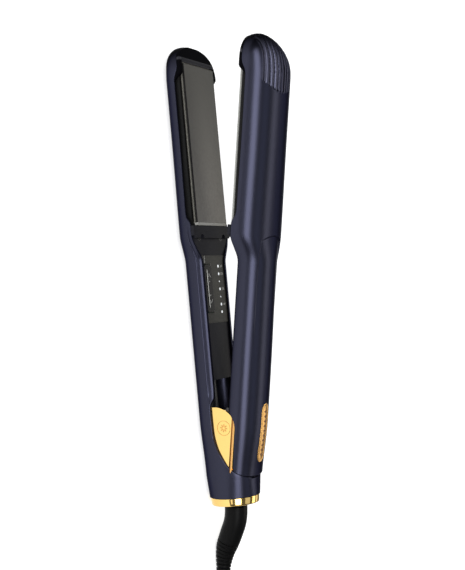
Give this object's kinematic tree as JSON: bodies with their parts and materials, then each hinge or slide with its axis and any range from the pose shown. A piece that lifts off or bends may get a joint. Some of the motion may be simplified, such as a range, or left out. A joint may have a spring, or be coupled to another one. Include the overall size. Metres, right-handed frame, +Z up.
{
  "type": "flat iron",
  "caption": "Hair straightener with two long arms sprung open on a rear hinge, wide heated plates, side control panel, gold hinge plates and a swivel mains cord folded in a hank.",
  "frame": {"origin": "bottom centre of the iron, without its cord, lying open on the lower arm on a flat surface", "axes": "+X along the lower arm towards the tip, +Z up from the surface to the upper arm, Y across the plates"},
  "size_m": [0.5339, 0.0658, 0.0752],
  "materials": {
    "navy_shell": "satin metallic midnight-blue lacquer on moulded plastic",
    "black_plastic": "gloss",
    "charcoal_plastic": "fine matt",
    "tray_plastic": "matt heat-resistant moulding",
    "ceramic_plate": "satin mineral coating",
    "panel": "printed film",
    "light_guide": "clear frosted",
    "gold": "mirror polished gold plate",
    "steel": "ground",
    "copper": "plain",
    "board": "solder mask",
    "chip": "moulded",
    "heater_ceramic": "ceramic",
    "mica": "mica sheet",
    "silicone": "soft",
    "bushing": "acetal",
    "wire": "silicone sleeving",
    "cord_rubber": "matt",
    "tie": "hook-and-loop tape"
  },
  "bodies": {
    "lower_arm": {"lower_shell": "navy_shell", "lower_inner_cover": "charcoal_plastic", "lower_tip_cap": "black_plastic", "lower_plate_springs": "silicone", "lower_plate_tray": "tray_plastic", "control_panel": "panel", "light_guides": "light_guide", "key_bearings": "charcoal_plastic", "tact_switches": "chip", "control_board": "board", "board_parts": "chip", "lower_cover_screws": "steel", "hinge_bracket": "tray_plastic", "hinge_pin": "steel", "hinge_sleeve": "bushing", "opening_spring": "steel", "end_ring": "gold", "swivel_bushing": "bushing", "contact_brushes": "copper", "mains_wires": "wire", "heater_leads": "wire", "strain_relief": "cord_rubber", "cord_lead": "cord_rubber", "cord_hank": "cord_rubber", "cord_tie": "tie", "cord_tail": "cord_rubber", "plug_body": "cord_rubber", "plug_pins": "steel"},
    "upper_arm": {"upper_shell": "navy_shell", "badge": "gold", "upper_inner_cover": "charcoal_plastic", "upper_cover_screws": "steel", "upper_tip_cap": "black_plastic", "upper_plate_springs": "silicone", "upper_plate_tray": "tray_plastic", "hinge_frame": "tray_plastic", "near_hinge_plate": "gold", "far_hinge_plate": "gold", "upper_leads": "wire", "thermal_fuse": "heater_ceramic"},
    "lower_plate": {"lower_heater_plate": "ceramic_plate", "lower_ptc_heater": "heater_ceramic", "lower_insulator": "mica", "lower_clamp_bar": "steel", "lower_plate_sensor": "chip"},
    "upper_plate": {"upper_heater_plate": "ceramic_plate", "upper_ptc_heater": "heater_ceramic", "upper_insulator": "mica", "upper_clamp_bar": "steel", "upper_plate_sensor": "chip"},
    "temperature_key": {"rocker_key": "black_plastic"},
    "swivel": {"swivel_barrel": "black_plastic", "contact_rings": "copper"}
  },
  "joints": [
    {"name": "arm_hinge", "type": "hinge", "parent": "lower_arm", "child": "upper_arm", "pos_m": [-0.1038, 0, 0.018], "axis": [0, 1, 0], "range_deg": [0, 9.8], "stiffness_Nm_per_rad": 2, "springref_deg": -17.19, "deforming": ["opening_spring"]},
    {"name": "lower_plate_float", "type": "slide", "parent": "lower_arm", "child": "lower_plate", "axis": [0, 0, -1], "range_m": [0, 0.0008], "stiffness_N_per_m": 2500, "springref_m": -0.001, "deforming": ["lower_plate_springs"]},
    {"name": "upper_plate_float", "type": "slide", "parent": "upper_arm", "child": "upper_plate", "axis": [-0.1712, 0, 0.9852], "range_m": [0, 0.0008], "stiffness_N_per_m": 2500, "springref_m": -0.001, "deforming": ["upper_plate_springs"]},
    {"name": "temperature_rocker", "type": "hinge", "parent": "lower_arm", "child": "temperature_key", "pos_m": [-0.0096, 0.008, 0.0123], "axis": [0, 1, 0], "range_deg": [-2.2, 2.2], "stiffness_Nm_per_rad": 0.05},
    {"name": "cord_swivel", "type": "hinge", "parent": "lower_arm", "child": "swivel", "pos_m": [-0.141, 0, 0.0167], "axis": [1, 0, 0], "continuous": true}
  ]
}
